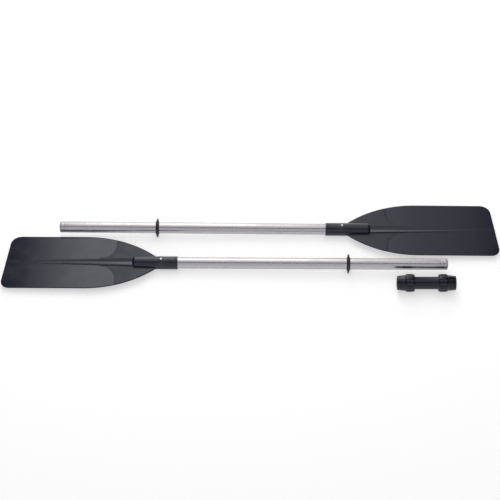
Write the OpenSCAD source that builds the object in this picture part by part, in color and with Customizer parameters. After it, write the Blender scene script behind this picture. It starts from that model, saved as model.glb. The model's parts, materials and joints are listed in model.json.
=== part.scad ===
/* [Shaft] */
// Outside diameter of the aluminium tube
shaft_d = 28.6; // [22:0.1:38]
// Wall of the aluminium tube
shaft_wall = 1.2; // [0.8:0.1:2.2]
// Length of one half, from the blade's tip to the shaft's free end
half_length = 1115; // [900:1:1500]
// How far the tube reaches into the blade's socket
shaft_in_socket = 110; // [60:1:140]
// Distance from the free end to the first crimp ring
crimp_from_end = 12; // [9:0.5:18]
// Distance between the two crimp rings
crimp_pitch = 7; // [4:0.5:10]
// Depth of a crimp ring
crimp_depth = 0.35; // [0.1:0.05:0.5]

/* [Shaft plugs] */
// Height of the end plug's dome beyond the tube
dome_h = 4.5; // [2.5:0.1:8]
// Length of the end plug inside the tube
plug_reach = 28; // [15:1:60]
// Depth of the inner plug's cup
bung_depth = 16; // [8:1:40]
// Wall of both plugs
plug_wall = 1.8; // [1:0.1:3]

/* [Blade] */
// Width of the blade across its parallel edges
blade_w = 164; // [120:1:200]
// Distance from the tip to where the edges start to curve in
straight_edge = 202; // [150:1:240]
// Radius of the curved shoulders
shoulder_r = 284; // [240:1:400]
// Distance from the tip to the socket's mouth
mouth_u = 435; // [400:1:520]
// Slant of the tip edge, in degrees
tip_slant = 6; // [0:0.1:12]
// Corner radius on the long side of the tip
long_corner_r = 21; // [8:1:35]
// Corner radius on the short side of the tip
short_corner_r = 27; // [8:1:40]
// Thickness of the tip panels
panel_t = 3.4; // [2.4:0.1:6]
// Thickness of the root fan
fan_t = 4; // [3:0.1:8]
// Where the tip panels end beside the ribs
panel_end = 240; // [180:1:270]
// Radius of the tip panels' inner corners
panel_corner_r = 39.5; // [15:0.5:45]

/* [Blade socket] */
// Wall of the socket around the tube
socket_wall = 2.4; // [1.6:0.1:4]
// Length of the socket
socket_l = 115; // [90:1:150]
// Sideways distance from the axis to a rib's middle at the socket
rib_spread = 11; // [6:0.1:14]
// Width of a rib at the socket
rib_w = 5; // [3:0.1:8]
// Height of a rib above the blade's middle plane at the socket
rib_h = 5.2; // [3.5:0.1:9]

/* [Rivet] */
// Distance from the socket's mouth to the rivet
rivet_from_mouth = 42; // [20:1:60]
// Shank diameter of the blind rivet
rivet_d = 4; // [3:0.1:5]
// Head diameter of the blind rivet
rivet_head_d = 6.6; // [5.5:0.1:9]

/* [Drip rings] */
// Outside diameter of a drip ring
ring_d = 49; // [44:0.5:70]
// Thickness of a drip ring's disc
ring_t = 3; // [2:0.1:5]
// How far a drip ring's rim leans towards the blade
ring_cup = 2.6; // [0:0.1:4]
// Length of a drip ring's hub
ring_hub_l = 9; // [8:0.5:20]
// Wall of a drip ring's hub
ring_hub_wall = 2.6; // [1.5:0.1:4]
// Distance from the shaft's free end to the ring's middle
ring_from_end = 250; // [120:1:400]

/* [Connector] */
// Length of bare sleeve between the two nuts
sleeve_bare = 59.8; // [40:0.1:90]
// Wall of the sleeve between the nuts
sleeve_wall = 1.55; // [1.2:0.05:4]
// Length of the sleeve under each nut
sleeve_end_l = 18; // [16:0.5:24]
// Wall of the sleeve under the thread
thread_wall = 3.55; // [3.2:0.05:5]
// Height of the thread's ridges
thread_h = 1.2; // [0.6:0.1:2]
// Pitch of the thread
thread_pitch = 3; // [2:0.5:4]
// Length of a clamp nut
nut_l = 43.5; // [40:0.1:60]
// Length of a nut's barrel-shaped collar
collar_l = 23.5; // [20:0.1:28]
// Wall of the nut's collar over the thread
collar_wall = 3.25; // [2.8:0.05:6]
// Wall of the nut at its outer end
nut_end_wall = 3.1; // [2:0.05:6]
// Number of finger grooves round a collar
grip_count = 10; // [6:1:14]
// Depth of a finger groove
grip_depth = 1.3; // [0.5:0.1:1.8]
// Wall of the split collet at its thin end
collet_wall = 1.1; // [0.8:0.05:2.5]
// Width of the collet's slit
collet_slit = 3; // [1:0.1:6]
// Thickness of the thrust washer's flange
washer_t = 2.8; // [1.5:0.1:3]
// Thickness of the seal ring
seal_t = 1.6; // [1.2:0.1:1.8]

/* [Layout] */
// Sideways turn of the left half on the ground, in degrees
left_yaw = -1.03; // [-2:0.005:0]
// Sideways turn of the right half on the ground, in degrees
right_yaw = 0; // [0:0.001:1]
// Least gap between the left blade's edge and the right shaft
row_gap = 7; // [5:0.1:60]
// Gap between the left shaft and the connector
connector_gap = 18.8; // [10:0.1:80]
// Distance along the rows between the two free ends
ends_apart = 984.5; // [820:0.1:1100]
// Distance from the left free end back to the connector's middle
connector_back = 57.4; // [0:0.1:150]

/* [Hidden] */
$fn = 64;

// Clearances, all radial or face to face
bore_gap = 0.1;    // a part held fast in a bore
slide_gap = 0.06;  // the drip ring on the shaft
socket_gap = 0.15; // the shaft in the connector
thread_gap = 0.3;  // the nut over the thread's ridges
face_gap = 0.3;    // loose parts stacked inside a nut
pass_gap = 0.8;    // the right drip ring past the left blade's edge
cut = 1;           // how far a cutting tool runs past a face

// Shaft and plugs
shaft_r = shaft_d / 2;
tube_bore_r = shaft_r - shaft_wall;
plug_r = tube_bore_r - bore_gap;
tube_start = mouth_u - shaft_in_socket;
tube_end = half_length - dome_h;
dome_round = min(dome_h * 0.8, shaft_r * 0.3);
bung_start = tube_start + 3;
crimp_w = 2.2;

// Blade: the long corner points to -Y
half_w = blade_w / 2;
edge_in = 1;
edge_t = panel_t * 0.5;
socket_r = shaft_r + bore_gap + socket_wall;
socket_start = mouth_u - socket_l;
socket_floor = min(3, socket_l - shaft_in_socket - 1);
socket_round = 1;
nose_round = 4;
rib_tip_u = 28;
rib_tip_spread = 1.6;
rib_tip_w = 2.6;
rib_tip_h = panel_t / 2 + 0.7;
long_c = [-(half_w - long_corner_r) * tan(tip_slant) + long_corner_r / cos(tip_slant),
    -(half_w - long_corner_r)];
short_c = [(half_w - short_corner_r) * tan(tip_slant) + short_corner_r / cos(tip_slant),
    half_w - short_corner_r];
shoulder_sweep = acos((shoulder_r - half_w + shaft_r / 2) / shoulder_r);

// Rivet
rivet_u = mouth_u - rivet_from_mouth;
rivet_r = rivet_d / 2;
rivet_seat_z = sqrt(pow(socket_r, 2) - pow(rivet_head_d / 2 + bore_gap, 2)) - 0.05;
rivet_bulb_r = rivet_r + 0.9;
rivet_bulb_z = sqrt(pow(tube_bore_r, 2) - pow(rivet_bulb_r, 2)) - 0.1;
rivet_bulb_h = 2.8;
rivet_head_h = 1.3;
stem_r = 1.05;

// Drip ring
ring_r = ring_d / 2;
ring_u = half_length - ring_from_end;
ring_bore_r = shaft_r + slide_gap;
ring_hub_r = ring_bore_r + ring_hub_wall;

// Connector: s runs outwards from its middle, n outwards from a nut's inner end
sleeve_bore_r = shaft_r + socket_gap;
sleeve_r = sleeve_bore_r + sleeve_wall;
stop_half = 1.5;
stop_r = tube_bore_r - 0.3;
thread_root_r = sleeve_bore_r + thread_wall;
thread_r = thread_root_r + thread_h;
nut_s = sleeve_bare / 2;
mouth_s = nut_s + sleeve_end_l;
seat_r = sleeve_bore_r + thread_wall * 0.5;
seat_l = 8;
seat_s = mouth_s - seat_l;
nut_bore_r = thread_r + thread_gap;
collar_r = nut_bore_r + collar_wall;
inner_r = sleeve_bore_r + 0.15;
washer_n = sleeve_end_l + face_gap;
collet_n = washer_n + washer_t + face_gap;
collet_l = nut_l - collet_n - 3.5;
collet_slope = 0.1;
collet_tip_r = inner_r + collet_wall;
collet_root_r = collet_tip_r + collet_l * collet_slope;
nut_mouth_r = inner_r + 0.3;
nut_end_r = nut_mouth_r + nut_end_wall;
nut_waist_r = max(nut_end_r + 1.3, collet_root_r + face_gap + 1.9);
washer_r = collet_root_r;
bore_end_n = washer_n + 0.4;
waist_n = max(collar_l, bore_end_n + 4);
collar_drop = collar_wall * 0.75;
collar_rise_l = 10;
collar_fall_l = 9;

// Rest on the ground: the ring's rim and the socket's blade end touch
ring_touch_u = ring_u - ring_cup / 2;
socket_touch_u = socket_start + nose_round;
pitch = atan((ring_r - socket_r) / (ring_touch_u - socket_touch_u));
tip_h = socket_r * cos(pitch) - socket_touch_u * sin(pitch);

// Places on the ground, with the whole layout's middle at the origin
run = half_length * cos(pitch);
ring_over_edge = (half_length - (run - ends_apart)) * sin(pitch) - panel_t / 2;
ring_reach = sqrt(pow(ring_r, 2) - pow(min(ring_over_edge, ring_r), 2));
rows_apart = half_w + max(shaft_r + row_gap, ring_reach + pass_gap);
left_end_0 = [ends_apart, -rows_apart + ends_apart * tan(left_yaw)];
left_tip_0 = left_end_0 - run * [cos(left_yaw), sin(left_yaw)];
right_tip_0 = run * [cos(right_yaw), sin(right_yaw)];
connector_0 = left_end_0 + [-connector_back,
    -connector_back * tan(left_yaw) - shaft_r - connector_gap - collar_r];
yaw_out = -long_c[1] * sin(left_yaw);
layout_mid = [(left_tip_0[0] + yaw_out + right_tip_0[0]) / 2,
    (connector_0[1] - collar_r + right_tip_0[1] + half_w) / 2];
left_at = left_tip_0 - layout_mid;
right_at = right_tip_0 - layout_mid;
connector_at = connector_0 - layout_mid;

// Colours
c_blade = [0.16, 0.17, 0.2];
c_tube = [0.8, 0.8, 0.83];
c_metal = [0.88, 0.88, 0.9];
c_plug = [0.72, 0.72, 0.76];
c_rubber = [0.07, 0.07, 0.08];
c_nut = [0.08, 0.08, 0.1];
c_acetal = [0.9, 0.9, 0.86];

// Points of an arc round c, from angle a0 to a1
function arc(c, r, a0, a1, n) = [for (k = [0:n]) let(a = a0 + (a1 - a0) * k / n)
    c + r * [cos(a), sin(a)]];

// Blade outline, pulled in by i all round
function outline(i) = concat(
    arc(long_c, long_corner_r - i, 180 - tip_slant, 270, 12),
    arc([straight_edge, shoulder_r - half_w], shoulder_r - i, 270, 270 + shoulder_sweep, 28),
    arc([straight_edge, half_w - shoulder_r], shoulder_r - i, 90 - shoulder_sweep, 90, 28),
    arc(short_c, short_corner_r - i, 90, 180 - tip_slant, 12));

// Plan of the root fan, with its two hollow corners
function fan_plan() = concat(
    [[mouth_u, -blade_w], [panel_end + panel_corner_r, -blade_w]],
    arc([panel_end, -rib_spread - rib_w / 2 - panel_corner_r], panel_corner_r, 0, 90, 12),
    arc([panel_end, rib_spread + rib_w / 2 + panel_corner_r], panel_corner_r, -90, 0, 12),
    [[panel_end + panel_corner_r, blade_w], [mouth_u, blade_w]]);

// Turns a profile of [radius, distance] points about the X axis
module turned(points) {
    rotate([0, 90, 0]) rotate([0, 0, 180]) rotate_extrude($fn = 96) polygon(points);
}

// Turns a profile about the Z axis
module turned_up(points) {
    rotate_extrude($fn = 48) polygon(points);
}

module bore_x(r, from, to) {
    translate([from, 0, 0]) rotate([0, 90, 0]) cylinder(r = r, h = to - from, $fn = 96);
}

// Puts a half that is drawn along +X, tip at the origin, on the ground
module lay_left() {
    translate([left_at[0], left_at[1], tip_h]) rotate([0, 0, left_yaw]) rotate([0, -pitch, 0]) children();
}

module lay_right() {
    translate([right_at[0], right_at[1], tip_h]) rotate([0, 0, right_yaw]) mirror([1, 0, 0])
        rotate([0, -pitch, 0]) children();
}

// Puts a connector part that is drawn along +X, for one end, in place
module lay_connector(end) {
    translate([connector_at[0], connector_at[1], collar_r]) mirror([end < 0 ? 1 : 0, 0, 0]) children();
}

module plate(i, t) {
    translate([0, 0, -t / 2]) linear_extrude(height = t) polygon(outline(i));
}

// One rib, tapering in plan and in height towards the tip, on both faces
module rib(side) {
    intersection() {
        translate([0, 0, -rib_h - cut]) linear_extrude(height = 2 * (rib_h + cut)) polygon([
            [rib_tip_u, side * (rib_tip_spread - rib_tip_w / 2)],
            [socket_start + nose_round + 2, side * (rib_spread - rib_w / 2)],
            [socket_start + nose_round + 2, side * (rib_spread + rib_w / 2)],
            [rib_tip_u, side * (rib_tip_spread + rib_tip_w / 2)]]);
        translate([0, half_w / 2, 0]) rotate([90, 0, 0]) linear_extrude(height = half_w) polygon([
            [rib_tip_u - 2, -rib_tip_h], [socket_start + nose_round + 3, -rib_h],
            [socket_start + nose_round + 3, rib_h], [rib_tip_u - 2, rib_tip_h]]);
    }
}

module socket_body() {
    turned(concat([[0, socket_start]],
        arc([socket_r - nose_round, socket_start + nose_round], nose_round, -90, 0, 5),
        [[socket_r, mouth_u - socket_round], [socket_r - socket_round * 0.7, mouth_u], [0, mouth_u]]));
}

module blade() {
    color(c_blade) difference() {
        union() {
            plate(0, edge_t);
            plate(edge_in, panel_t);
            intersection() {
                plate(edge_in * 2, fan_t);
                translate([0, 0, -fan_t]) linear_extrude(height = 2 * fan_t) polygon(fan_plan());
            }
            rib(-1);
            rib(1);
            socket_body();
        }
        bore_x(shaft_r + bore_gap, socket_start + socket_floor, mouth_u + cut);
        translate([rivet_u, 0, 0]) cylinder(r = rivet_r + bore_gap, h = socket_r + cut, $fn = 48);
        translate([rivet_u, 0, rivet_seat_z])
            cylinder(r = rivet_head_d / 2 + bore_gap, h = socket_r, $fn = 48);
    }
}

module shaft() {
    color(c_tube) difference() {
        bore_x(shaft_r, tube_start, tube_end);
        bore_x(tube_bore_r, tube_start - cut, tube_end + cut);
        translate([rivet_u, 0, 0]) cylinder(r = rivet_r + bore_gap, h = socket_r, $fn = 48);
        for (k = [0, 1]) {
            at = half_length - crimp_from_end - k * crimp_pitch;
            turned([[shaft_r - crimp_depth, at - crimp_w / 5], [shaft_r + cut, at - crimp_w / 2 - cut],
                [shaft_r + cut, at + crimp_w / 2 + cut], [shaft_r - crimp_depth, at + crimp_w / 5]]);
        }
    }
}

module rivet() {
    head_z = rivet_seat_z + rivet_head_h;
    foot_z = rivet_bulb_z - rivet_bulb_h;
    bore_r = stem_r + bore_gap;
    color(c_metal) translate([rivet_u, 0, 0]) turned_up([[bore_r, foot_z], [rivet_r, foot_z],
        [rivet_bulb_r, foot_z + 0.8], [rivet_bulb_r, rivet_bulb_z - 0.4], [rivet_r, rivet_bulb_z],
        [rivet_r, rivet_seat_z + 0.05], [rivet_head_d / 2, rivet_seat_z + 0.05],
        [rivet_head_d / 2, rivet_seat_z + 0.35], [rivet_head_d / 2 * 0.72, head_z - 0.3],
        [rivet_head_d / 2 * 0.5, head_z], [bore_r, head_z]]);
}

module rivet_stem() {
    head_z = rivet_seat_z + rivet_head_h;
    foot_z = rivet_bulb_z - rivet_bulb_h;
    color(c_metal) translate([rivet_u, 0, 0]) turned_up([[0, foot_z - 1.8], [stem_r, foot_z - 1.8],
        [stem_r + 0.9, foot_z - 0.9], [stem_r + 0.9, foot_z - 0.1], [stem_r, foot_z - 0.1],
        [stem_r, head_z - 0.5], [0, head_z - 0.5]]);
}

module inner_plug() {
    color(c_plug) turned([[0, bung_start], [plug_r - 0.6, bung_start], [plug_r, bung_start + 1],
        [plug_r, bung_start + bung_depth], [plug_r - plug_wall, bung_start + bung_depth],
        [plug_r - plug_wall, bung_start + plug_wall], [0, bung_start + plug_wall]]);
}

module end_plug() {
    lip = 0.15;
    color(c_plug) turned(concat(
        [[0, tube_end - plug_wall], [plug_r - plug_wall, tube_end - plug_wall],
            [plug_r - plug_wall, tube_end - plug_reach], [plug_r - 0.5, tube_end - plug_reach],
            [plug_r, tube_end - plug_reach + 1], [plug_r, tube_end], [shaft_r - lip, tube_end]],
        arc([shaft_r - lip - dome_round, half_length - dome_round], dome_round, 0, 90, 5),
        [[0, half_length]]));
}

module drip_ring() {
    rim = ring_t / 2 * 0.9;
    root_u = ring_u + ring_cup / 2;
    color(c_rubber) turned(concat(
        [[ring_bore_r, ring_u - ring_hub_l / 2], [ring_hub_r - 0.8, ring_u - ring_hub_l / 2],
            [ring_hub_r, ring_u - ring_hub_l / 2 + 0.8], [ring_hub_r, root_u - ring_t / 2]],
        arc([ring_r - rim, ring_touch_u], rim, -90, 90, 8),
        [[ring_hub_r, root_u + ring_t / 2], [ring_hub_r, ring_u + ring_hub_l / 2 - 0.8],
            [ring_hub_r - 0.8, ring_u + ring_hub_l / 2], [ring_bore_r, ring_u + ring_hub_l / 2]]));
}

// Half of the sleeve's outline, from its middle to one mouth
function ridge(s) = [[thread_root_r, s], [thread_r, s + thread_pitch * 0.28],
    [thread_r, s + thread_pitch * 0.48], [thread_root_r, s + thread_pitch * 0.76]];
ridge_first = nut_s + 3.2;
ridge_count = floor((mouth_s - 1 - ridge_first) / thread_pitch);
function sleeve_side() = concat([[sleeve_r, 0], [sleeve_r, nut_s + 0.4], [thread_root_r, nut_s + 2]],
    [for (k = [0:ridge_count - 1]) each ridge(ridge_first + k * thread_pitch)],
    [[thread_root_r, mouth_s - 0.6], [thread_root_r - 0.6, mouth_s], [seat_r, mouth_s],
        [seat_r, seat_s], [sleeve_bore_r, seat_s], [sleeve_bore_r, stop_half],
        [stop_r, stop_half], [stop_r, 0]]);
function other_end(points) = [for (k = [len(points) - 1:-1:0]) [points[k][0], -points[k][1]]];
module connector_sleeve() {
    side = sleeve_side();
    inner = [for (k = [1:len(side) - 2]) side[k]];
    color(c_nut) lay_connector(1) turned(concat(inner, [side[len(side) - 1]], other_end(inner)));
}

function collet_r_at(n) = collet_root_r - (n - collet_n) * collet_slope;

// A collar's outline from its inner end to the waist: two elliptical quarters and a level crest
function collar_side() = concat(
    [for (a = [0:22.5:90]) [collar_r - collar_drop * (1 - sin(a)), collar_rise_l * (1 - cos(a))]],
    [for (a = [90:-15:0]) [collar_r - (collar_r - nut_waist_r) * (1 - sin(a)),
        waist_n - collar_fall_l * (1 - cos(a))]]);

module clamp_nut(end) {
    taper_n = collet_n - 0.2;
    mouth_n = collet_n + collet_l + face_gap;
    color(c_nut) lay_connector(end) difference() {
        translate([nut_s, 0, 0]) turned(concat([[nut_bore_r, 0]], collar_side(),
            [[nut_end_r, nut_l - 2], [nut_end_r - 0.6, nut_l - 0.6],
                [nut_end_r - 2, nut_l], [nut_mouth_r, nut_l], [nut_mouth_r, mouth_n],
                [collet_r_at(mouth_n) + face_gap, mouth_n],
                [collet_r_at(taper_n) + face_gap, taper_n], [nut_bore_r, bore_end_n]]));
        for (k = [0:grip_count - 1]) rotate([(k + 0.5) * 360 / grip_count, 0, 0])
            translate([nut_s - cut, 0, collar_r + 5 - grip_depth]) rotate([0, 90, 0])
                cylinder(r = 5, h = waist_n + cut, $fn = 48);
    }
}

module collet(end) {
    tip_n = collet_n + collet_l;
    color(c_acetal) lay_connector(end) difference() {
        translate([nut_s, 0, 0]) turned([[inner_r, collet_n], [collet_root_r, collet_n],
            [collet_r_at(tip_n), tip_n], [inner_r, tip_n]]);
        translate([nut_s + collet_n - cut, -collet_slit / 2, 0])
            cube([collet_l + 2 * cut, collet_slit, collar_r]);
    }
}

module thrust_washer(end) {
    skirt_r = seat_r - bore_gap;
    skirt_n = washer_n - seat_l + seal_t + 1;
    color(c_acetal) lay_connector(end) translate([nut_s, 0, 0]) turned([[inner_r, skirt_n],
        [skirt_r, skirt_n], [skirt_r, washer_n], [washer_r, washer_n],
        [washer_r, washer_n + washer_t], [inner_r, washer_n + washer_t]]);
}

module seal(end) {
    seal_r = min(seal_t, seat_r - inner_r - 0.05) / 2;
    color(c_rubber) lay_connector(end) translate([seat_s + seal_r + 0.15, 0, 0]) rotate([0, 90, 0])
        rotate_extrude($fn = 96) translate([inner_r + seal_r, 0]) circle(r = seal_r, $fn = 24);
}

lay_left() blade();  // left_blade
lay_left() shaft();  // left_shaft
lay_left() rivet();  // left_rivet
lay_left() rivet_stem();  // left_rivet_stem
lay_left() inner_plug();  // left_inner_plug
lay_left() end_plug();  // left_end_plug
lay_left() drip_ring();  // left_drip_ring
lay_right() blade();  // right_blade
lay_right() shaft();  // right_shaft
lay_right() rivet();  // right_rivet
lay_right() rivet_stem();  // right_rivet_stem
lay_right() inner_plug();  // right_inner_plug
lay_right() end_plug();  // right_end_plug
lay_right() drip_ring();  // right_drip_ring
connector_sleeve();
clamp_nut(-1);  // left_clamp_nut
clamp_nut(1);  // right_clamp_nut
collet(-1);  // left_collet
collet(1);  // right_collet
thrust_washer(-1);  // left_thrust_washer
thrust_washer(1);  // right_thrust_washer
seal(-1);  // left_seal
seal(1);  // right_seal
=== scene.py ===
import json
import math
import bmesh
import bpy
import numpy as np
from mathutils import Matrix, Vector


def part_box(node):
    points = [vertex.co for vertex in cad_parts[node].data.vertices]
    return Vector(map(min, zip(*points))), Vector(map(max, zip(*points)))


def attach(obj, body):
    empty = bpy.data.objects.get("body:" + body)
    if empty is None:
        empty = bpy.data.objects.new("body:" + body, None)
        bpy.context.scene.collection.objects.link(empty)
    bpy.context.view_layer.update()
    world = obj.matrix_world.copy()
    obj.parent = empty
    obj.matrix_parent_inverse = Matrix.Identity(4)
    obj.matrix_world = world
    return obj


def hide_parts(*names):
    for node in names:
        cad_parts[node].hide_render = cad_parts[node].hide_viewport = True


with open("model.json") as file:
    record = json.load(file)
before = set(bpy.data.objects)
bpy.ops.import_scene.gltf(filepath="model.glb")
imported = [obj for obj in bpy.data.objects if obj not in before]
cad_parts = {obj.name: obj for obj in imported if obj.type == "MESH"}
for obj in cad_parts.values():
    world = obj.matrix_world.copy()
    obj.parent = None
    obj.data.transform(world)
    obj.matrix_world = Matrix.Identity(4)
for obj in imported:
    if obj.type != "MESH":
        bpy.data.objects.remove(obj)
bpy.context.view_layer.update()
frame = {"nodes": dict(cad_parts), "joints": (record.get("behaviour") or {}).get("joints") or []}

print("frame loaded")

joints = {joint["name"]: joint for joint in frame["joints"]}
nodes = frame["nodes"]
mm = 0.001
dustRoughens, linesRoughen = 0.3, 0.06  # how much settled dust and drawn lines add to a roughness


def addNode(tree, kind, values=None, **settings):
    node = tree.nodes.new(kind)
    for key, value in settings.items():
        setattr(node, key, value)
    for key, value in (values or {}).items():
        node.inputs[key].default_value = value
    return node


def calc(tree, operation, a, b=None, clamp=False):
    node = addNode(tree, "ShaderNodeMath", operation=operation, use_clamp=clamp)
    for slot, value in ((0, a), (1, b)):
        if value is None:
            continue
        if isinstance(value, (int, float)):
            node.inputs[slot].default_value = value
        else:
            tree.links.new(value, node.inputs[slot])
    return node.outputs[0]


def spread(tree, value, low, high, toLow=0.0, toHigh=1.0):
    node = addNode(tree, "ShaderNodeMapRange", interpolation_type="SMOOTHSTEP")
    tree.links.new(value, node.inputs["Value"])
    for key, number in (("From Min", low), ("From Max", high), ("To Min", toLow), ("To Max", toHigh)):
        node.inputs[key].default_value = number
    return node.outputs["Result"]


def tint(tree, mask, first, second):
    node = addNode(tree, "ShaderNodeMix", data_type="RGBA")
    tree.links.new(mask, node.inputs["Factor"])
    for slot, colour in ((6, first), (7, second)):
        if isinstance(colour, tuple):
            node.inputs[slot].default_value = (*colour, 1)
        else:
            tree.links.new(colour, node.inputs[slot])
    return node.outputs[2]


def newGroup(name, inputs, outputs):
    group = bpy.data.node_groups.new(name, "ShaderNodeTree")
    for socketName, kind, value in inputs:
        socket = group.interface.new_socket(socketName, in_out="INPUT", socket_type=kind)
        if value is not None:
            socket.default_value = value
    for socketName, kind in outputs:
        group.interface.new_socket(socketName, in_out="OUTPUT", socket_type=kind)
    start = group.nodes.new("NodeGroupInput")
    end = group.nodes.new("NodeGroupOutput")
    return group, start, end


def mouldedGrainGroup():  # leather-like grain that a spark-eroded mould leaves
    group, start, end = newGroup("mouldedGrain",
        [("Vector", "NodeSocketVector", None), ("Size", "NodeSocketFloat", 1.0),
            ("Depth", "NodeSocketFloat", 0.02)],
        [("Mask", "NodeSocketFloat"), ("Normal", "NodeSocketVector")])
    fine = addNode(group, "ShaderNodeTexNoise", {"Detail": 3.0, "Roughness": 0.62})
    cells = addNode(group, "ShaderNodeTexVoronoi", {"Randomness": 1.0}, feature="F1")
    frequency = calc(group, "DIVIDE", 1.0, start.outputs["Size"])
    group.links.new(start.outputs["Vector"], fine.inputs["Vector"])
    group.links.new(frequency, fine.inputs["Scale"])
    group.links.new(start.outputs["Vector"], cells.inputs["Vector"])
    group.links.new(frequency, cells.inputs["Scale"])
    height = calc(group, "ADD", fine.outputs["Fac"], calc(group, "MULTIPLY", cells.outputs["Distance"], 0.55))
    bump = addNode(group, "ShaderNodeBump", {"Strength": 1.0})
    group.links.new(calc(group, "MULTIPLY", start.outputs["Depth"], mm), bump.inputs["Distance"])
    group.links.new(height, bump.inputs["Height"])
    group.links.new(spread(group, height, 0.35, 1.05), end.inputs["Mask"])
    group.links.new(bump.outputs["Normal"], end.inputs["Normal"])
    return group


def drawnLinesGroup():  # long fine lines along a drawn tube, and the odd longer scratch
    group, start, end = newGroup("drawnLines",
        [("Vector", "NodeSocketVector", None), ("Across", "NodeSocketFloat", 2.0),
            ("Along", "NodeSocketFloat", 0.02), ("Depth", "NodeSocketFloat", 0.01)],
        [("Mask", "NodeSocketFloat"), ("Scratches", "NodeSocketFloat"), ("Normal", "NodeSocketVector")])
    stretch = addNode(group, "ShaderNodeCombineXYZ")
    group.links.new(start.outputs["Along"], stretch.inputs["X"])
    group.links.new(start.outputs["Across"], stretch.inputs["Y"])
    group.links.new(start.outputs["Across"], stretch.inputs["Z"])
    scaled = addNode(group, "ShaderNodeVectorMath", operation="MULTIPLY")
    group.links.new(start.outputs["Vector"], scaled.inputs[0])
    group.links.new(stretch.outputs["Vector"], scaled.inputs[1])
    lines = addNode(group, "ShaderNodeTexNoise", {"Scale": 1.0, "Detail": 4.0, "Roughness": 0.7})
    marks = addNode(group, "ShaderNodeTexNoise", {"Scale": 0.45, "Detail": 1.0, "Distortion": 0.4})
    group.links.new(scaled.outputs["Vector"], lines.inputs["Vector"])
    group.links.new(scaled.outputs["Vector"], marks.inputs["Vector"])
    scratches = spread(group, marks.outputs["Fac"], 0.66, 0.72)
    height = calc(group, "SUBTRACT", lines.outputs["Fac"], calc(group, "MULTIPLY", scratches, 0.8))
    bump = addNode(group, "ShaderNodeBump", {"Strength": 1.0})
    group.links.new(calc(group, "MULTIPLY", start.outputs["Depth"], mm), bump.inputs["Distance"])
    group.links.new(height, bump.inputs["Height"])
    group.links.new(spread(group, lines.outputs["Fac"], 0.3, 0.7), end.inputs["Mask"])
    group.links.new(scratches, end.inputs["Scratches"])
    group.links.new(bump.outputs["Normal"], end.inputs["Normal"])
    return group


def handlingGroup():  # faint smudges, rubbed patches and settled dust
    group, start, end = newGroup("handlingMarks",
        [("Vector", "NodeSocketVector", None), ("Size", "NodeSocketFloat", 40.0),
            ("Dust", "NodeSocketFloat", 0.3)],
        [("Smudge", "NodeSocketFloat"), ("Dust", "NodeSocketFloat")])
    frequency = calc(group, "DIVIDE", 1.0, start.outputs["Size"])
    smudge = addNode(group, "ShaderNodeTexNoise", {"Detail": 5.0, "Roughness": 0.55, "Distortion": 0.6})
    group.links.new(start.outputs["Vector"], smudge.inputs["Vector"])
    group.links.new(frequency, smudge.inputs["Scale"])
    specks = addNode(group, "ShaderNodeTexNoise", {"Detail": 2.0, "Roughness": 0.5})
    group.links.new(start.outputs["Vector"], specks.inputs["Vector"])
    group.links.new(calc(group, "MULTIPLY", frequency, 38.0), specks.inputs["Scale"])
    dots = spread(group, specks.outputs["Fac"], 0.66, 0.8)
    clouds = spread(group, smudge.outputs["Fac"], 0.45, 0.9, 0, 0.35)
    settled = calc(group, "MULTIPLY", calc(group, "ADD", dots, clouds), start.outputs["Dust"])
    group.links.new(spread(group, smudge.outputs["Fac"], 0.35, 0.7), end.inputs["Smudge"])
    group.links.new(settled, end.inputs["Dust"])
    return group


grainGroup = mouldedGrainGroup()
linesGroup = drawnLinesGroup()
handlingMarks = handlingGroup()


def placeGroup(tree, group, vector, **values):
    node = addNode(tree, "ShaderNodeGroup", node_tree=group)
    tree.links.new(vector, node.inputs["Vector"])
    for key, value in values.items():
        node.inputs[key].default_value = value
    return node


def newMaterial(name, own=True, **shader):
    material = bpy.data.materials.new(name)
    material.use_nodes = True
    tree = material.node_tree
    principled = tree.nodes["Principled BSDF"]
    for key, value in shader.items():
        principled.inputs[key.replace("_", " ")].default_value = value
    if own:  # the piece's own millimetres
        vector = addNode(tree, "ShaderNodeAttribute", attribute_name="local").outputs["Vector"]
    else:  # a carried-over node has only its place in metres
        scale = addNode(tree, "ShaderNodeMapping", {"Scale": (1000, 1000, 1000)})
        tree.links.new(addNode(tree, "ShaderNodeTexCoord").outputs["Object"], scale.inputs["Vector"])
        vector = scale.outputs["Vector"]
    return material, tree, principled, vector


def attribute(tree, name):
    return addNode(tree, "ShaderNodeAttribute", attribute_name=name).outputs["Fac"]


def plasticMaterial(name, look, own=True):
    material, tree, principled, vector = newMaterial(name, own, **look.get("shader", {}))
    grain = placeGroup(tree, grainGroup, vector, Size=look["grain"], Depth=look["depth"])
    marks = placeGroup(tree, handlingMarks, vector, Size=look["smudge"], Dust=look["dust"])
    colour = tint(tree, grain.outputs["Mask"], look["dark"], look["light"])
    colour = tint(tree, marks.outputs["Dust"], colour, look["dustColour"])
    tree.links.new(colour, principled.inputs["Base Color"])
    rough = calc(tree, "ADD", spread(tree, marks.outputs["Smudge"], 0, 1, *look["rough"]),
        calc(tree, "MULTIPLY", marks.outputs["Dust"], dustRoughens))
    tree.links.new(rough, principled.inputs["Roughness"])
    tree.links.new(grain.outputs["Normal"], principled.inputs["Normal"])
    return material


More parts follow.
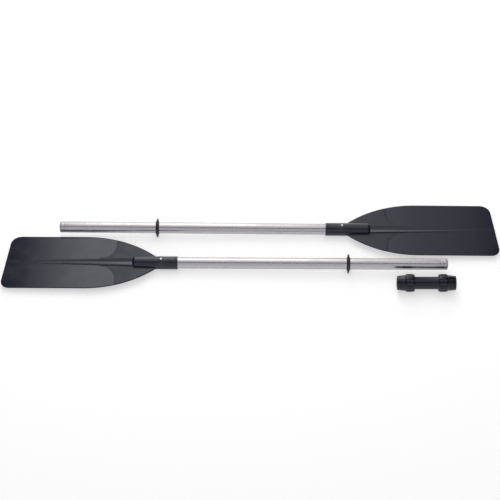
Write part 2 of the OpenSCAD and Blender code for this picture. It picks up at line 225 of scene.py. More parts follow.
def metalMaterial(name, look, own=True):
    material, tree, principled, vector = newMaterial(name, own, **look.get("shader", {}))
    lines = placeGroup(tree, linesGroup, vector, Across=look["across"], Along=look["along"],
        Depth=look["depth"])
    marks = placeGroup(tree, handlingMarks, vector, Size=look["smudge"], Dust=look["dust"])
    colour = tint(tree, lines.outputs["Mask"], look["dark"], look["light"])
    scratched = calc(tree, "MULTIPLY", lines.outputs["Scratches"], look["scratch"])
    colour = tint(tree, scratched, colour, look["scratchColour"])
    tree.links.new(colour, principled.inputs["Base Color"])
    rough = calc(tree, "ADD", spread(tree, marks.outputs["Smudge"], 0, 1, *look["rough"]),
        calc(tree, "MULTIPLY", calc(tree, "ADD", lines.outputs["Mask"], marks.outputs["Dust"]), linesRoughen))
    tree.links.new(rough, principled.inputs["Roughness"])
    tree.links.new(lines.outputs["Normal"], principled.inputs["Normal"])
    return material


bladeLook = {
    "panelDark": (0.0036, 0.0048, 0.015), "panelLight": (0.006, 0.0078, 0.022),
    "fanDark": (0.0024, 0.0032, 0.0105), "fanLight": (0.004, 0.0054, 0.016),
    "edgeColour": (0.03, 0.031, 0.04), "dustColour": (0.07, 0.07, 0.085),
    "panelRough": (0.15, 0.21), "fanRough": (0.34, 0.42),
    "grain": 0.62, "depth": 0.008, "smudge": 46.0, "dust": 0.16,
    "across": 0.9, "along": 0.05, "lineDepth": 0.004, "scrape": 0.5, "scratch": 0.14, "wornRough": 0.25,
    "shader": {"IOR": 1.5, "Specular_Tint": (0.88, 0.9, 1.0, 1)},
}


def bladeMaterial(look):
    material, tree, principled, vector = newMaterial("bladePlastic", **look["shader"])
    fan = attribute(tree, "fan")
    edge = attribute(tree, "edge")
    grain = placeGroup(tree, grainGroup, vector, Size=look["grain"], Depth=look["depth"])
    marks = placeGroup(tree, handlingMarks, vector, Size=look["smudge"], Dust=look["dust"])
    lines = placeGroup(tree, linesGroup, vector, Across=look["across"], Along=look["along"],
        Depth=look["lineDepth"])
    panel = tint(tree, grain.outputs["Mask"], look["panelDark"], look["panelLight"])
    root = tint(tree, grain.outputs["Mask"], look["fanDark"], look["fanLight"])
    colour = tint(tree, fan, panel, root)
    colour = tint(tree, marks.outputs["Dust"], colour, look["dustColour"])
    scraped = calc(tree, "MULTIPLY", edge, spread(tree, marks.outputs["Smudge"], 0.35, 0.9))
    scraped = calc(tree, "MULTIPLY", scraped, look["scrape"])
    scratched = calc(tree, "MULTIPLY", lines.outputs["Scratches"], look["scratch"])
    worn = calc(tree, "ADD", scraped, scratched)
    colour = tint(tree, worn, colour, look["edgeColour"])
    tree.links.new(colour, principled.inputs["Base Color"])
    panelRough = spread(tree, marks.outputs["Smudge"], 0, 1, *look["panelRough"])
    fanRough = spread(tree, marks.outputs["Smudge"], 0, 1, *look["fanRough"])
    kept = calc(tree, "MULTIPLY", fanRough, fan)
    rest = calc(tree, "MULTIPLY", panelRough, calc(tree, "SUBTRACT", 1.0, fan))
    rough = calc(tree, "ADD", calc(tree, "ADD", kept, rest), calc(tree, "MULTIPLY", worn, look["wornRough"]))
    tree.links.new(rough, principled.inputs["Roughness"])
    tree.links.new(grain.outputs["Normal"], principled.inputs["Normal"])
    return material


looks = {
    "tube": {"dark": (0.42, 0.41, 0.43), "light": (0.47, 0.46, 0.475), "scratchColour": (0.5, 0.49, 0.5),
        "scratch": 0.2, "across": 3.4, "along": 0.004, "depth": 0.0004, "smudge": 70.0, "dust": 0.2,
        "rough": (0.2, 0.3), "shader": {"Metallic": 1.0}},
    "rivet": {"dark": (0.74, 0.74, 0.78), "light": (0.86, 0.86, 0.9), "scratchColour": (0.5, 0.5, 0.52),
        "scratch": 0.4, "across": 3.0, "along": 2.0, "depth": 0.006, "smudge": 4.0, "dust": 0.2,
        "rough": (0.2, 0.36), "shader": {"Metallic": 1.0}},
    "stem": {"dark": (0.4, 0.4, 0.41), "light": (0.56, 0.56, 0.57), "scratchColour": (0.2, 0.17, 0.15),
        "scratch": 0.5, "across": 5.0, "along": 5.0, "depth": 0.02, "smudge": 2.0, "dust": 0.2,
        "rough": (0.3, 0.5), "shader": {"Metallic": 1.0}},
    "plug": {"dark": (0.36, 0.36, 0.385), "light": (0.43, 0.43, 0.455), "dustColour": (0.62, 0.62, 0.62),
        "grain": 0.5, "depth": 0.012, "smudge": 14.0, "dust": 0.1, "rough": (0.34, 0.48),
        "shader": {"IOR": 1.5}},
    "rubber": {"dark": (0.01, 0.01, 0.011), "light": (0.017, 0.017, 0.018),
        "dustColour": (0.11, 0.11, 0.11), "grain": 0.42, "depth": 0.014, "smudge": 9.0, "dust": 0.3,
        "rough": (0.5, 0.66), "shader": {"IOR": 1.5}},
    "connector": {"dark": (0.0025, 0.003, 0.0065), "light": (0.004, 0.0048, 0.0095),
        "dustColour": (0.12, 0.12, 0.13), "grain": 0.9, "depth": 0.004, "smudge": 16.0, "dust": 0.1,
        "rough": (0.12, 0.22), "shader": {"IOR": 1.45, "Specular_Tint": (0.85, 0.89, 1.0, 1)}},
    "collet": {"dark": (0.66, 0.65, 0.6), "light": (0.76, 0.75, 0.7), "dustColour": (0.5, 0.5, 0.47),
        "grain": 0.8, "depth": 0.008, "smudge": 8.0, "dust": 0.2, "rough": (0.32, 0.45),
        "shader": {"IOR": 1.48}},
}

bladePlastic = bladeMaterial(bladeLook)
tubeAluminium = metalMaterial("tubeAluminium", looks["tube"])
rivetAluminium = metalMaterial("rivetAluminium", looks["rivet"])
plugPlastic = plasticMaterial("plugPlastic", looks["plug"])
ringRubber = plasticMaterial("ringRubber", looks["rubber"])
connectorPlastic = plasticMaterial("connectorPlastic", looks["connector"])
innerPlugPlastic = plasticMaterial("innerPlugPlastic", looks["plug"], own=False)
stemSteel = metalMaterial("stemSteel", looks["stem"], own=False)
colletPlastic = plasticMaterial("colletPlastic", looks["collet"], own=False)
sealRubber = plasticMaterial("sealRubber", looks["rubber"], own=False)
print("materials made")


arcStep, edgeShare = 15, 0.49  # degrees between an arc's points; the share of an edge that an arc may take


def roundedLine(corners, closed=True):
    # corners are (along, radius, rounding); each rounded corner becomes a short arc
    points = []
    count = len(corners)
    for index, (along, radius, rounding) in enumerate(corners):
        here = Vector((along, radius))
        before = Vector(corners[index - 1][:2])
        after = Vector(corners[(index + 1) % count][:2])
        if rounding <= 0 or (not closed and index in (0, count - 1)):
            points.append(here)
            continue
        back, ahead = (before - here), (after - here)
        turn = math.pi - back.angle(ahead)
        reach = min(rounding * math.tan(turn / 2), back.length * edgeShare, ahead.length * edgeShare)
        bend = reach / math.tan(turn / 2)
        middle = (back.normalized() + ahead.normalized()).normalized()
        centre = here + middle * (bend / math.cos(turn / 2))
        first = here + back.normalized() * reach - centre
        last = here + ahead.normalized() * reach - centre
        steps = max(3, round(math.degrees(turn) / arcStep))
        sweep = first.angle_signed(last)
        for step in range(steps + 1):
            spoke = first.copy()
            spoke.rotate(Matrix.Rotation(-sweep * step / steps, 2))
            points.append(centre + spoke)
    return points


def spinLine(bm, points, steps, closed=True):
    # points are (along, radius), turned once round the x axis
    verts = [bm.verts.new((point[0], 0, point[1])) for point in points]
    edges = [bm.edges.new(pair) for pair in zip(verts, verts[1:])]
    if closed:
        edges.append(bm.edges.new((verts[-1], verts[0])))
    bmesh.ops.spin(bm, geom=verts + edges, cent=(0, 0, 0), axis=(1, 0, 0), angle=2 * math.pi,
        steps=steps, use_merge=True, use_duplicate=False)
    bmesh.ops.remove_doubles(bm, verts=bm.verts, dist=1e-4)


def finishPiece(name, bm, place, body, material, replaced, sharp=38):
    # keeps the piece's own millimetres for its material, then moves it to its place in metres
    bmesh.ops.remove_doubles(bm, verts=bm.verts, dist=2e-4)
    bmesh.ops.dissolve_degenerate(bm, edges=bm.edges, dist=1e-4)
    local = bm.verts.layers.float_vector.new("local")
    for vert in bm.verts:
        vert[local] = vert.co
    bmesh.ops.transform(bm, matrix=place, verts=bm.verts)
    bmesh.ops.recalc_face_normals(bm, faces=bm.faces)
    mesh = bpy.data.meshes.new(name)
    bm.to_mesh(mesh)
    bm.free()
    mesh.polygons.foreach_set("use_smooth", [True] * len(mesh.polygons))
    mesh.set_sharp_from_angle(angle=math.radians(sharp))
    mesh.materials.append(material)
    piece = bpy.data.objects.new(name, mesh)
    bpy.context.scene.collection.objects.link(piece)
    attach(piece, body)
    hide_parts(replaced)
    return piece


def middleOf(node):
    low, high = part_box(node)
    return (Vector(low) + Vector(high)) / 2


half = {"ringFromTip": 865.0, "flatEnds": 250.0}


def halfPlace(side):
    # along runs from the blade's tip to the free end, across lies in the blade, up stands on it
    along = Vector(joints[side + "_ring_slide"]["axis"]).normalized()
    ring = middleOf(side + "_drip_ring")
    tip = ring - along * half["ringFromTip"] * mm
    points = [vert.co - tip for vert in nodes[side + "_blade"].data.vertices]
    flat = np.array([point[:] for point in points if point.dot(along) < half["flatEnds"] * mm])
    flat = np.unique(np.round(flat, 6), axis=0)
    flat = flat - flat.mean(axis=0)
    up = Vector(np.linalg.eigh(flat.T @ flat)[1][:, 0])
    up = (up - along * up.dot(along)).normalized()
    if up.z < 0:
        up = -up
    across = up.cross(along)
    if across.y < 0:
        across = -across
    place = Matrix((along, across, up)).transposed().to_4x4()
    place.translation = tip
    return place @ Matrix.Scale(mm, 4)


places = {side: halfPlace(side) for side in ("left", "right")}


blade = {
    "halfWidth": 82.0, "straightEdge": 202.0, "shoulder": 284.0, "mouth": 435.0, "slant": 6.0,
    "longCorner": 21.0, "shortCorner": 27.0, "panelHalf": 1.7, "fanHalf": 2.0, "fanFrom": 240.0,
    "fanCorner": 39.5, "fanGap": 13.5, "stepWidth": 5.0, "rimWidth": 1.7, "ribFrom": 14.0, "ribTo": 326.0,
    "ribTip": (1.5, 2.4, 2.8), "ribRoot": (11.0, 4.6, 5.2), "barrel": 16.8, "barrelFrom": 320.0,
    "noseLength": 8.0, "bore": 14.4, "boreFrom": 324.2, "lipFrom": 429.0, "lipHeight": 0.25, "fillet": 2.6,
    "filletRoom": 7.0, "gridRows": 100.0, "trough": 1.5, "ribFoot": 0.25, "ribLeast": 0.4, "ribPower": 2.6,
    "ribFade": 0.12, "ribBlend": 0.5, "fallOutside": 1.5, "wornFrom": 0.4, "wornTo": 2.6, "rimBand": 2.3,
    "cornerSteps": 32,
}
slantTan = math.tan(math.radians(blade["slant"]))
slantCos = math.cos(math.radians(blade["slant"]))


def tipCorner(side):
    radius = blade["longCorner"] if side < 0 else blade["shortCorner"]
    across = side * (blade["halfWidth"] - radius)
    return Vector((across * slantTan + radius / slantCos, across)), radius


def bladeHalfWidth(u):
    if u <= blade["straightEdge"]:
        return blade["halfWidth"]
    drop = u - blade["straightEdge"]
    return math.sqrt(max(blade["shoulder"] ** 2 - drop ** 2, 0)) - blade["shoulder"] + blade["halfWidth"]


def edgeDistance(u, v):
    # how far inside the outline a point is
    sides = blade["halfWidth"] - abs(v)
    if u > blade["straightEdge"]:
        centre = Vector((blade["straightEdge"], blade["halfWidth"] - blade["shoulder"]))
        sides = blade["shoulder"] - (Vector((u, abs(v))) - centre).length
    tip = (u - v * slantTan) * slantCos
    centre, radius = tipCorner(-1 if v < 0 else 1)
    outwards = Vector((u, v)) - centre
    beyondTip = outwards.x * -slantCos + outwards.y * slantTan * slantCos
    onSide = (outwards.y < 0) == (v < 0)
    pastCentre = beyondTip > outwards.y * (1 if v > 0 else -1) * -slantTan
    if onSide and pastCentre and sides < radius and tip < radius:
        return radius - outwards.length
    return min(sides, tip)


def fanDistance(u, v):
    # positive on the root fan, negative on the tip panels
    a = abs(v)
    centre = blade["fanGap"] + blade["fanCorner"]
    if a >= centre:
        return u - blade["fanFrom"] - blade["fanCorner"]
    if u > blade["fanFrom"]:
        return math.hypot(u - blade["fanFrom"], a - centre) - blade["fanCorner"]
    if a < blade["fanGap"]:
        return u - blade["fanFrom"]
    return -math.hypot(u - blade["fanFrom"], max(a - blade["fanGap"], 0))


def smoothStep(value, low, high):
    t = min(max((value - low) / (high - low), 0), 1)
    return t * t * (3 - 2 * t)


def softMax(a, b, width):
    # the larger of two heights, with a fillet where they meet
    if width <= 0:
        return max(a, b)
    return max(a, b) + max(width - abs(a - b), 0) ** 2 / (4 * width)


def ribAt(u):
    t = (u - blade["ribFrom"]) / (blade["ribTo"] - blade["ribFrom"])
    t = min(max(t, 0), 1)
    return [low + (high - low) * t for low, high in zip(blade["ribTip"], blade["ribRoot"])]


def barrelSize(u):
    # a blunt rounded nose, then a slight draft towards a raised lip at the mouth
    inset = blade["barrelFrom"] + blade["noseLength"] - u
    size = blade["barrel"] - blade["lipHeight"] * smoothStep(blade["mouth"] - u, 4.5, 6.0)
    if inset <= 0:
        return size
    return size * max(1 - (inset / blade["noseLength"]) ** 2.5, 0) ** 0.4


def bladeHeight(u, v):
    inside = edgeDistance(u, v)
    middle, width, top = ribAt(u)
    fan = smoothStep(fanDistance(u, v), -blade["stepWidth"] / 2, blade["stepWidth"] / 2)
    between = 1 - smoothStep(abs(v), middle - 1, middle + 2)
    fan = max(fan, between)
    body = blade["panelHalf"] + (blade["fanHalf"] - blade["panelHalf"]) * fan
    fan *= 1 - between  # the ribs, the trough between them and the barrel are as glossy as the panels
    rim = min(max(inside / blade["rimWidth"], 0), 1)
    height = body * math.sqrt(1 - (1 - rim) ** 2) if inside > 0 else inside * blade["fallOutside"]
    soft = blade["fillet"] * min(max(inside / blade["filletRoom"], 0), 1)
    if u < blade["ribFrom"]:
        top -= (blade["ribFrom"] - u) * blade["ribFade"]
    across = abs(abs(v) - middle) / (width / 2)
    rib = top - max(top - body + blade["ribFoot"], blade["ribLeast"]) * across ** blade["ribPower"]
    if abs(v) < middle:  # a trough runs between the ribs
        rib = body + max(top - body, 0) * (abs(v) / middle) ** blade["trough"]
    if u < blade["ribTo"]:
        height = softMax(height, rib, min(blade["ribBlend"], soft))
    size = barrelSize(u)
    if u < blade["barrelFrom"]:
        barrel = -blade["fallOutside"] * math.hypot(v, blade["barrelFrom"] - u)
    elif abs(v) < size:
        barrel = math.sqrt(size ** 2 - v ** 2)
    else:
        barrel = (size - abs(v)) * blade["fallOutside"]
    fan *= 1 - smoothStep(barrel, height, height + 1)
    return max(softMax(height, barrel, soft), 0), fan


# columns from the middle to an edge: in the trough, on the rib, on the panel, at the rim
inner, ribColumns, outer, rimColumns = 7, 16, 40, 8
halfColumns = inner + ribColumns + outer + rimColumns


def columnPlace(u, k):
    # the place across the blade of column k, counted from the middle
    width = bladeHalfWidth(u)
    middle, ribWidth, _ = ribAt(u)
    ribIn, ribOut = max(middle - ribWidth / 2 - 0.8, middle * 0.2), middle + ribWidth / 2 + 0.9
    root = smoothStep(u, blade["barrelFrom"] - 9, blade["barrelFrom"] - 1)
    size = barrelSize(max(u, blade["barrelFrom"] + blade["noseLength"]))
    shared = inner + ribColumns
    if k <= shared:
        straight = ribIn * k / inner if k <= inner else ribIn + (ribOut - ribIn) * (k - inner) / ribColumns
        return straight * (1 - root) + size * math.sin(math.pi / 2 * k / shared) * root
    start = ribOut * (1 - root) + size * root
    room = max(width - start, 0)
    rim = min(blade["rimBand"], room * 0.5)
    if k <= shared + outer:  # these columns open out a little away from the rib
        t = (k - shared) / outer
        return start + (room - rim) * (0.62 * t + 0.38 * t * t)
    t = (k - shared - outer) / rimColumns  # and these close up towards the edge
    return start + room - rim + rim * (1 - (1 - t) ** 1.8)


def tipOutline():
    # the outline round the tip, from the long edge to the short edge
    points = []
    for side, first, last in ((-1, 270, 180 - blade["slant"]), (1, 180 - blade["slant"], 90)):
        centre, radius = tipCorner(side)
        for step in range(blade["cornerSteps"] + 1):
            angle = math.radians(first + (last - first) * step / blade["cornerSteps"])
            points.append(centre + radius * Vector((math.cos(angle), math.sin(angle))))
    points.insert(0, Vector((blade["gridRows"], -blade["halfWidth"])))
    points.append(Vector((blade["gridRows"], blade["halfWidth"])))
    return points


def lineWalker(points):
    lengths = [0]
    for before, after in zip(points, points[1:]):
        lengths.append(lengths[-1] + (after - before).length)

    def walk(t):
        goal = min(max(t, 0), 1) * lengths[-1]
        for index in range(1, len(points)):
            if goal <= lengths[index] + 1e-9:
                share = (goal - lengths[index - 1]) / max(lengths[index] - lengths[index - 1], 1e-9)
                return points[index - 1].lerp(points[index], share)
        return points[-1]
    return walk


def bladeRows():
    # distances from the tip: close together at the rim, the fan's edge and the nose
    rows = [0, 0.04, 0.15, 0.35, 0.65, 1.0, 1.4, 1.9, 2.8, 4.5, 7.5, 11.5]
    rows += [16 + 7 * k for k in range(12)] + [blade["gridRows"]]
    rows += [104.5 + 4.55 * k for k in range(29)]
    rows += [236 + 1.25 * k for k in range(37)]
    rows += [284 + 3 * k for k in range(9)] + [310, 311.5, 313, 314.5, 316, 317.2, 318.4, 319.3]
    rows += [blade["barrelFrom"] + blade["noseLength"] * (k / 16) ** 2.2 for k in range(17)]
    rows += [330 + 2.55 * k for k in range(20)] + [380 + 7 * k for k in range(7)]
    return rows


def mouthRows():
    # the barrel's lip, then the bore back to its floor, as (along, radius)
    size, mouth, lipFrom = blade["barrel"], blade["mouth"], blade["lipFrom"]
    low = size - blade["lipHeight"]
    lip = roundedLine([(lipFrom - 5, low, 0), (lipFrom, low, 0.6), (lipFrom + 1.2, size, 0.5),
        (mouth, size, 0.9), (mouth, blade["bore"], 0.45), (blade["boreFrom"], blade["bore"], 0.6),
        (blade["boreFrom"], 0, 0)], closed=False)
    return [(point[0], point[1]) for point in lip[1:]]


def makeBlade(side):
    rows, lip = bladeRows(), mouthRows()
    rowCount, columnCount = len(rows) + len(lip), 2 * halfColumns + 1
    bm = bmesh.new()
    bmesh.ops.create_grid(bm, x_segments=columnCount - 1, y_segments=rowCount - 1, size=1)
    outline = tipOutline()
    # each corner's middle point parts the tip's edge from a side edge
    longMiddle = blade["cornerSteps"] // 2 + 1
    shortMiddle = len(outline) - longMiddle - 1
    tipWalk = lineWalker(outline[longMiddle:shortMiddle + 1])
    longWalk = lineWalker(outline[longMiddle::-1])
    shortWalk = lineWalker(outline[shortMiddle:])
    fanLayer = bm.verts.layers.float.new("fan")
    edgeLayer = bm.verts.layers.float.new("edge")
    corner = [tipWalk(0), tipWalk(1)]
    far = blade["gridRows"]
    farLong, farShort = Vector((far, -blade["halfWidth"])), Vector((far, blade["halfWidth"]))
    for vert in bm.verts:
        column = round((vert.co.x + 1) / 2 * (columnCount - 1)) - halfColumns
        row = round((vert.co.y + 1) / 2 * (rowCount - 1))
        k, sign = abs(column), (1 if column >= 0 else -1)
        if row < len(rows):
            u = rows[row]
            if u < far:
                b = u / far
                atTip = sign * columnPlace(0, k) / blade["halfWidth"] / 2 + 0.5
                atFar = sign * columnPlace(far, k) / blade["halfWidth"] / 2 + 0.5
                a = atTip + (atFar - atTip) * b
                farPoint = Vector((far, (atFar - 0.5) * 2 * blade["halfWidth"]))
                tipEnd, farEnd = corner[0] * (1 - a) + corner[1] * a, farLong * (1 - a) + farShort * a
                ends = tipEnd * (1 - b) + farEnd * b
                alongEdges = longWalk(b) * (1 - a) + shortWalk(b) * a
                spot = tipWalk(atTip) * (1 - b) + farPoint * b + alongEdges - ends
            else:
                spot = Vector((u, sign * columnPlace(u, k)))
            height, fan = bladeHeight(spot.x, spot.y)
            if row == 0 or k == halfColumns:
                height = 0
            vert.co = (spot.x, spot.y, height)
            vert[fanLayer] = fan
            inside = edgeDistance(spot.x, spot.y)
            vert[edgeLayer] = 1 - smoothStep(inside, blade["wornFrom"], blade["wornTo"])
        else:
            u, size = lip[row - len(rows)]
            turn = math.pi / 2 * min(k / (inner + ribColumns), 1)
            height = size * math.cos(turn) if k < inner + ribColumns else 0
            vert.co = (u, sign * size * math.sin(turn), height)
    bmesh.ops.remove_doubles(bm, verts=bm.verts, dist=2e-3)
    everything = bm.verts[:] + bm.edges[:] + bm.faces[:]
    bmesh.ops.mirror(bm, geom=everything, matrix=Matrix(), merge_dist=1e-3, axis="Z")
    finishPiece(side + "_blade_moulding", bm, places[side], side + "_half", bladePlastic,
        side + "_blade", sharp=50)


tube = {"radius": 14.3, "bore": 13.1, "from": 325.0, "to": 1110.5, "crimps": (1096.0, 1103.0),
    "crimpWidth": 2.2, "crimpDepth": 0.35, "steps": 96}


def makeTube(side):
    radius, pressed = tube["radius"], tube["radius"] - tube["crimpDepth"]
    reach, flat = tube["crimpWidth"] / 2 + 0.5, tube["crimpWidth"] / 2 * 0.35
    line = [(tube["from"], radius, 0.3)]
    for at in tube["crimps"]:
        line += [(at - reach, radius, 0.8), (at - flat, pressed, 0.8), (at + flat, pressed, 0.8),
            (at + reach, radius, 0.8)]
    line += [(tube["to"], radius, 0.3), (tube["to"], tube["bore"], 0.2), (tube["from"], tube["bore"], 0.2)]
    bm = bmesh.new()
    spinLine(bm, roundedLine(line), tube["steps"])
    finishPiece(side + "_tube", bm, places[side], side + "_half", tubeAluminium,
        side + "_shaft")


plug = {"end": 1115.0, "seat": 1110.5, "radius": 14.15, "inTube": 13.0, "reach": 28.0, "wall": 1.8}


def makeEndPlug(side):
    # a domed cap, then a hollow skirt inside the tube
    end, seat, skirt = plug["end"], plug["seat"], plug["inTube"]
    foot, bore, floor = seat - plug["reach"], skirt - plug["wall"], seat - plug["wall"]
    line = roundedLine([(end, 0, 0), (end - 0.05, 4, 2), (end - 0.75, 9.8, 9), (end - 1.9, 13.2, 2.5),
        (seat, plug["radius"], 0.35), (seat, skirt, 0), (foot + 1, skirt, 0.4), (foot, skirt - 0.5, 0.3),
        (foot, bore, 0.3), (floor, bore, 0.5), (floor, 0, 0)], closed=False)
    bm = bmesh.new()
    spinLine(bm, line, tube["steps"], closed=False)
    finishPiece(side + "_end_plug_moulding", bm, places[side], side + "_half", plugPlastic,
        side + "_end_plug")


rivet = {"along": 393.0, "seat": 16.45, "head": 3.3, "height": 1.3, "shank": 2.0, "hollow": 1.15,
    "bulb": 2.9, "bulbTop": 12.675, "bulbHeight": 2.8, "steps": 48}


def makeRivet(side):
    # drawn on its side, then stood up on the socket
    top, foot = rivet["seat"] + rivet["height"], rivet["bulbTop"] - rivet["bulbHeight"]
    shank, bulb, head, seat = rivet["shank"], rivet["bulb"], rivet["head"], rivet["seat"]
    line = roundedLine([(foot, rivet["hollow"], 0.1), (foot, shank, 0.3), (foot + 0.8, bulb, 0.6),
        (rivet["bulbTop"] - 0.4, bulb, 0.4), (rivet["bulbTop"], shank, 0.1), (seat, shank, 0.1),
        (seat, head, 0.12), (seat + 0.35, head, 0.25), (top - 0.28, head * 0.7, 1.4),
        (top, head * 0.48, 0.3), (top - 0.02, rivet["hollow"], 0.15)])
    bm = bmesh.new()
    spinLine(bm, line, rivet["steps"])
    stand = Matrix(((0, 0, -1, rivet["along"]), (0, 1, 0, 0), (1, 0, 0, 0), (0, 0, 0, 1)))
    bmesh.ops.transform(bm, matrix=stand, verts=bm.verts)
    finishPiece(side + "_rivet_body", bm, places[side], side + "_half", rivetAluminium,
        side + "_rivet")


dripRing = {"at": half["ringFromTip"], "bore": 14.36, "hub": 16.9, "rim": 24.48, "wall": 2.2, "steps": 96}


def makeDripRing(side):
    # a shallow cup that opens towards the blade, with its hub inside
    at, wall, bore = dripRing["at"], dripRing["wall"], dripRing["bore"]
    hub, rim = dripRing["hub"], dripRing["rim"]
    line = roundedLine([(at - 4.5, bore, 0.4), (at - 4.5, hub, 0.8), (at + 0.2, hub, 1.2),
        (at - 0.4, 20.4, 5), (at - 2.2, 22.6, 0.8), (at - 2.9, rim, 0.7), (at - 0.3, rim, 1.1),
        (at + 2.0, 21.4, 6), (at + 0.6 + wall, hub + 0.8, 1.5), (at + 3.8, hub - 0.4, 0.8),
        (at + 4.4, bore, 0.4)])
    bm = bmesh.new()
    spinLine(bm, line, dripRing["steps"])
    finishPiece(side + "_drip_cup", bm, places[side], side + "_ring", ringRubber,
        side + "_drip_ring")


connector = {
    "sleeve": 16.0, "bore": 14.45, "stop": 12.8, "stopHalf": 1.5, "threadRoot": 18.0, "threadTop": 19.2,
    "pitch": 3.0, "nutFrom": 29.9, "threadFrom": 33.1, "mouth": 47.9, "mouthPlain": 1.5, "seatFrom": 39.9,
    "seat": 16.225, "ringGap": 0.25, "runIn": 1.6, "runOut": 1.9, "steps": 96,
}
connectorMiddle = middleOf("connector_sleeve")


def connectorPlace(end):
    flip = Matrix.Diagonal((end, 1, 1, 1))
    return Matrix.Translation(connectorMiddle) @ flip @ Matrix.Scale(mm, 4)


def setRadius(vert, radius, wanted):
    vert.co.y *= wanted / radius
    vert.co.z *= wanted / radius


def makeSleeve():
    c = connector
    root, threadTo = c["threadRoot"], c["mouth"] - c["mouthPlain"]
    outside = roundedLine([(0, c["sleeve"], 0), (c["nutFrom"] + 0.4, c["sleeve"], 1.0),
        (c["nutFrom"] + 2, root, 0.6), (c["threadFrom"] - 0.5, root, 0)], closed=False)
    ringCount = round((threadTo - c["threadFrom"]) / c["ringGap"])
    turns = [Vector((c["threadFrom"] + c["ringGap"] * k, root)) for k in range(ringCount)]
    mouthLine = roundedLine([(c["mouth"] - 1.2, root, 0), (c["mouth"], root, 0.6),
        (c["mouth"], c["seat"], 0.3), (c["seatFrom"], c["seat"], 0.2), (c["seatFrom"], c["bore"], 0.3),
        (c["stopHalf"], c["bore"], 0.2), (c["stopHalf"], c["stop"], 0.4), (0, c["stop"], 0)], closed=False)
    side = outside + turns + mouthLine
    other = [Vector((-point[0], point[1])) for point in reversed(side)]
    bm = bmesh.new()
    spinLine(bm, side + other, c["steps"])
    for vert in bm.verts:
        s, r = abs(vert.co.x), math.hypot(vert.co.y, vert.co.z)
        if r < root - 0.01 or s < c["threadFrom"] - 0.01 or s > threadTo + 0.2:
            continue
        angle = math.atan2(vert.co.z, vert.co.y) / (2 * math.pi)
        phase = (vert.co.x / c["pitch"] - angle) % 1  # a right-hand thread at both ends
        ridge = smoothStep(phase, 0.05, 0.34) * (1 - smoothStep(phase, 0.52, 0.8))
        fade = smoothStep(s, c["threadFrom"], c["threadFrom"] + c["runIn"])
        fade *= 1 - smoothStep(s, threadTo - c["runOut"], threadTo)
        setRadius(vert, r, r + (c["threadTop"] - root) * ridge * fade)
    finishPiece("connector_sleeve_moulding", bm, connectorPlace(1), "connector",
        connectorPlastic, "connector_sleeve")


clampNut = {
    "length": 43.5, "collar": 23.5, "collarRadius": 22.75, "drop": 2.44, "rise": 10.0, "fall": 9.0,
    "bore": 19.5, "boreTo": 18.7, "coneFrom": (21.2, 17.88), "coneTo": (40.3, 15.97), "waist": 19.76,
    "end": 18.0, "mouth": 14.9, "line": (37.8, 39.2), "lineDepth": 0.35, "grooves": 10, "cutter": 5.0,
    "cutterDepth": 1.3, "cutterSoft": 0.5, "riseSteps": 8, "fallSteps": 12, "steps": 200,
}


def collarLine(at):
    # from the collar's inner end over its crest down to the waist
    c = clampNut
    points = []
    for step in range(c["riseSteps"] + 1):
        angle = math.radians(90 * step / c["riseSteps"])
        lower = c["drop"] * (1 - math.sin(angle))
        points.append((at + c["rise"] * (1 - math.cos(angle)), c["collarRadius"] - lower, 0))
    for step in range(c["fallSteps"]):
        angle = math.radians(90 * (1 - step / c["fallSteps"]))
        lower = (c["collarRadius"] - c["waist"]) * (1 - math.sin(angle))
        points.append((at + c["collar"] - c["fall"] * (1 - math.cos(angle)), c["collarRadius"] - lower, 0))
    return points + [(at + c["collar"] + 0.4, c["waist"], 0.6)]


def makeClampNut(side, end):
    c, at = clampNut, connector["nutFrom"]
    slope = (c["end"] - c["waist"]) / (c["length"] - 2 - c["collar"])
    first, last = c["line"]
    before, after = [c["waist"] + slope * (edge - c["collar"]) for edge in (first, last)]
    scored = [(at + first, before, 0.3), (at + first + 0.3, before - c["lineDepth"], 0.25),
        (at + last - 0.3, after - c["lineDepth"], 0.25), (at + last, after, 0.3)]
    inside = [(at + c["length"], c["mouth"], 0.5), (at + c["coneTo"][0], c["mouth"], 0.2),
        (at + c["coneTo"][0], c["coneTo"][1], 0.2), (at + c["coneFrom"][0], c["coneFrom"][1], 0.2),
        (at + c["boreTo"], c["bore"], 0.2), (at, c["bore"], 0.3)]
    line = roundedLine(collarLine(at) + scored + [(at + c["length"], c["end"] - 0.1, 1.9)] + inside)
    bm = bmesh.new()
    spinLine(bm, line, c["steps"])
    # ten grip grooves, as a round cutter beside the collar leaves them
    reach = c["collarRadius"] + c["cutter"] - c["cutterDepth"]
    share = 360 / c["grooves"]
    for vert in bm.verts:
        s, r = vert.co.x - at, math.hypot(vert.co.y, vert.co.z)
        if s > c["collar"] + 1 or r < c["bore"] + 0.4:
            continue
        angle = math.degrees(math.atan2(vert.co.z, vert.co.y))
        turn = math.radians((angle + share / 2) % share - share / 2)
        away = reach * math.sin(turn)
        groove = reach
        if abs(away) < c["cutter"]:
            groove = reach * math.cos(turn) - math.sqrt(c["cutter"] ** 2 - away ** 2)
        soft = max(c["cutterSoft"] - abs(r - groove), 0) ** 2 / 2
        setRadius(vert, r, min(r, groove) - soft)
    finishPiece(side + "_nut_moulding", bm, connectorPlace(end), side + "_nut",
        connectorPlastic, side + "_clamp_nut")


for side in ("left", "right"):
    makeBlade(side)
    print(side, "blade made")
    makeTube(side)
    makeEndPlug(side)
    makeRivet(side)
    makeDripRing(side)
    print(side, "half finished")
makeSleeve()
for side, end in (("left", -1), ("right", 1)):
    makeClampNut(side, end)
print("connector made")


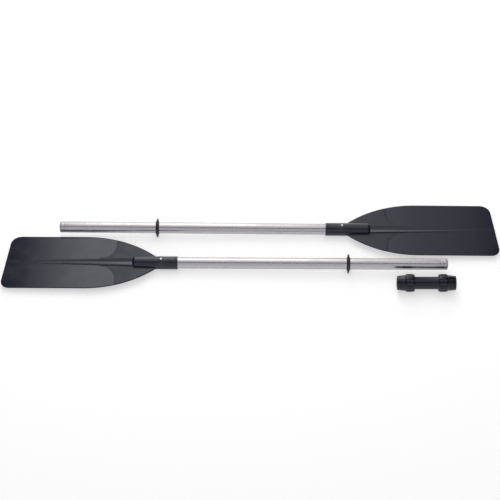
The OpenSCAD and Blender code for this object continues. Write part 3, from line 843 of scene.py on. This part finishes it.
# the carried-over pieces get a finish of their own
carried = {"inner_plug": innerPlugPlastic, "rivet_stem": stemSteel, "collet": colletPlastic,
    "thrust_washer": colletPlastic, "seal": sealRubber}
for side in ("left", "right"):
    for kind, material in carried.items():
        node = nodes[side + "_" + kind]
        if not node.material_slots:
            node.data.materials.append(material)
        for holder in node.material_slots:
            holder.material = material


studio = {
    "floor": 12.0, "floorColour": (0.8, 0.8, 0.8), "floorGlow": 0.52, "floorSquares": 8, "floorDrop": 0.0004,
    "airColour": (0.9, 0.92, 1.0), "air": 0.12,
    "skyColour": (1.0, 0.99, 0.96), "skyFrom": 0.75, "skyTo": 6.0, "skyHeight": 1.95, "skyGap": 0.01,
    "skyLayers": ((-0.94, 1.0, 0.8), (-0.9, 0.68, 0.55), (-0.82, 0.3, 1.5)),  # from, to, brightness
    "back": 1.5, "backSize": (10.0, 2.2), "backAt": (0, 6.2, 1.0),
    "front": 0.75, "frontSize": (10.0, 9.0), "frontAt": (0, -6.0, 4.5), "frontColour": (0.97, 0.95, 1.0),
    "ceiling": 1.0, "ceilingSize": (5.0, 3.0), "ceilingAt": (0, 0.1, 4.5),
}


def makeFloor():
    bm = bmesh.new()
    squares = studio["floorSquares"]
    bmesh.ops.create_grid(bm, x_segments=squares, y_segments=squares, size=studio["floor"])
    bmesh.ops.translate(bm, verts=bm.verts, vec=(0, 0, -studio["floorDrop"]))
    mesh = bpy.data.meshes.new("studioFloor")
    bm.to_mesh(mesh)
    bm.free()
    material = bpy.data.materials.new("studioFloor")
    material.use_nodes = True
    tree = material.node_tree
    principled = tree.nodes["Principled BSDF"]
    principled.inputs["Base Color"].default_value = (*studio["floorColour"], 1)
    principled.inputs["Roughness"].default_value = 1.0
    principled.inputs["Specular IOR Level"].default_value = 0.0
    principled.inputs["Emission Color"].default_value = (1, 1, 1, 1)
    principled.inputs["Emission Strength"].default_value = studio["floorGlow"]
    mesh.materials.append(material)
    floor = bpy.data.objects.new("studioFloor", mesh)
    bpy.context.scene.collection.objects.link(floor)


def addSoftbox(name, size, at, facing, radiance, colour):
    lamp = bpy.data.lights.new(name, "AREA")
    lamp.shape = "RECTANGLE"
    lamp.size, lamp.size_y = size
    lamp.energy = radiance * math.pi * size[0] * size[1]  # a panel's watts at that brightness
    lamp.color = colour
    holder = bpy.data.objects.new(name, lamp)
    holder.location = at
    holder.rotation_euler = Vector(facing).to_track_quat("-Z", "Y").to_euler()
    bpy.context.scene.collection.objects.link(holder)


makeFloor()
# panels that overlap overhead, so that the sky is brightest left of the middle
for index, (left, right, radiance) in enumerate(studio["skyLayers"]):
    depth = studio["skyTo"] - studio["skyFrom"]
    height = studio["skyHeight"] + studio["skyGap"] * index
    at = Vector(((left + right) / 2, (studio["skyFrom"] + studio["skyTo"]) / 2, height))
    addSoftbox("skySoftbox", (right - left, depth), at, (0, 0, -1), radiance, studio["skyColour"])
for kind, facing in (("front", (0, 1, 0)), ("back", (0, -1, 0)), ("ceiling", (0, 0, -1))):
    colour = studio["frontColour"] if kind == "front" else studio["skyColour"]
    addSoftbox(kind + "Panel", studio[kind + "Size"], studio[kind + "At"], facing, studio[kind], colour)
world = bpy.data.worlds.new("studioAir")
world.use_nodes = True
background = world.node_tree.nodes["Background"]
background.inputs["Color"].default_value = (*studio["airColour"], 1)
background.inputs["Strength"].default_value = studio["air"]
bpy.context.scene.world = world
bpy.context.scene.view_settings.view_transform = "Standard"

shot = {"elevation": 51.5, "distance": 4.27, "lens": 120.5, "sensor": 36, "clipEnd": 100,
    "aimX": -0.00495, "aimY": 0.0055}
aim = Vector((shot["aimX"], shot["aimY"], 0))
tilt = math.radians(shot["elevation"])
lens = bpy.data.cameras.new("shotCamera")
lens.lens = shot["lens"]
lens.sensor_width = shot["sensor"]
lens.clip_end = shot["clipEnd"]
camera = bpy.data.objects.new("shotCamera", lens)
camera.location = aim + shot["distance"] * Vector((0, -math.cos(tilt), math.sin(tilt)))
camera.rotation_euler = (math.pi / 2 - tilt, 0, 0)
bpy.context.scene.collection.objects.link(camera)
bpy.context.scene.camera = camera
print("stage set")

bpy.context.view_layer.update()
